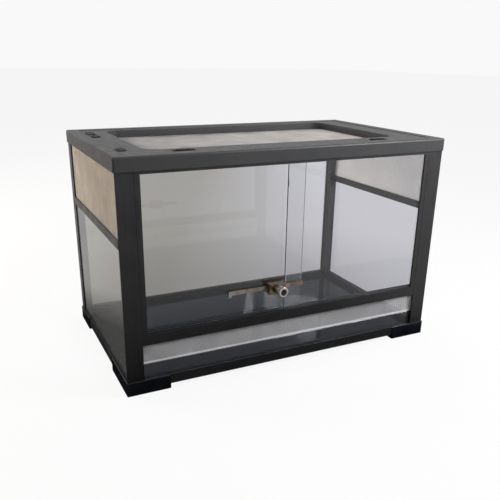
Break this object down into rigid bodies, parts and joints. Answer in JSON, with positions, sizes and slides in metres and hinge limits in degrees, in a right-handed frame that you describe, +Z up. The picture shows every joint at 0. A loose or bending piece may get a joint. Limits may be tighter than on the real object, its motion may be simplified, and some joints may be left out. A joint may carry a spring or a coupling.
{
  "type": "terrarium",
  "caption": "Glass reptile terrarium with sliding front doors and a key lock, mesh vents at the front and sides, and a lift-off lid with a sunken mesh top.",
  "frame": {"origin": "on the floor, under the middle of the box that holds the whole object, lock included", "axes": "+X to the right as seen from the front, +Y to the back, +Z up; the sliding doors and the lock face -Y"},
  "size_m": [0.6, 0.3726, 0.382],
  "materials": {
    "moulded_frame": "fine satin texture",
    "extrusion": "dark satin coating",
    "foot": "satin",
    "floor": "gloss, opaque black",
    "clear_glass": "polished",
    "gauze": "woven wire",
    "rubber": "matt",
    "plated_steel": "bright",
    "chrome": "polished",
    "brass": "dull"
  },
  "bodies": {
    "cabinet": {"top_frame": "moulded_frame", "bottom_frame": "moulded_frame", "floor_glass": "floor", "foot_front_left": "foot", "foot_front_right": "foot", "foot_back_left": "foot", "foot_back_right": "foot", "post_front_left": "extrusion", "post_front_right": "extrusion", "post_back_left": "extrusion", "post_back_right": "extrusion", "front_rail": "extrusion", "top_track": "extrusion", "jamb_left": "extrusion", "jamb_right": "extrusion", "lower_front_glass": "clear_glass", "vent_mesh": "gauze", "side_glass_left": "clear_glass", "side_glass_right": "clear_glass", "side_rail_left": "extrusion", "side_rail_right": "extrusion", "side_mesh_left": "gauze", "side_mesh_right": "gauze", "back_glass": "clear_glass"},
    "left_door": {"left_door_glass": "clear_glass", "lock_bar": "plated_steel"},
    "right_door": {"right_door_glass": "clear_glass"},
    "lock": {"lock_body": "chrome"},
    "key_plug": {"lock_plug": "brass"},
    "lid": {"lid_frame": "moulded_frame", "lid_mesh": "gauze"},
    "latch_left": {"lid_latch_left": "rubber"},
    "latch_right": {"lid_latch_right": "rubber"},
    "inlet_plug_front": {"cable_plug_front": "rubber"},
    "inlet_plug_middle": {"cable_plug_middle": "rubber"},
    "inlet_plug_back": {"cable_plug_back": "rubber"}
  },
  "joints": [
    {"name": "left_door_slide", "type": "slide", "parent": "cabinet", "child": "left_door", "axis": [1, 0, 0], "range_m": [0, 0.23]},
    {"name": "right_door_slide", "type": "slide", "parent": "cabinet", "child": "right_door", "axis": [-1, 0, 0], "range_m": [0, 0.21]},
    {"name": "lock_slide", "type": "slide", "parent": "right_door", "child": "lock", "axis": [1, 0, 0], "range_m": [-0.07, 0]},
    {"name": "key_turn", "type": "hinge", "parent": "lock", "child": "key_plug", "pos_m": [-0.03005, -0.18625, 0.1454], "axis": [0, 1, 0], "range_deg": [0, 90]},
    {"name": "lid_lift", "type": "slide", "parent": "cabinet", "child": "lid", "axis": [0, 0, 1], "range_m": [0, 0.12]},
    {"name": "latch_left_slide", "type": "slide", "parent": "lid", "child": "latch_left", "axis": [0, -1, 0], "range_m": [0, 0.006]},
    {"name": "latch_right_slide", "type": "slide", "parent": "lid", "child": "latch_right", "axis": [0, -1, 0], "range_m": [0, 0.006]},
    {"name": "inlet_plug_front_pull", "type": "slide", "parent": "lid", "child": "inlet_plug_front", "axis": [0, 0, 1], "range_m": [0, 0.02]},
    {"name": "inlet_plug_middle_pull", "type": "slide", "parent": "lid", "child": "inlet_plug_middle", "axis": [0, 0, 1], "range_m": [0, 0.02]},
    {"name": "inlet_plug_back_pull", "type": "slide", "parent": "lid", "child": "inlet_plug_back", "axis": [0, 0, 1], "range_m": [0, 0.02]}
  ]
}
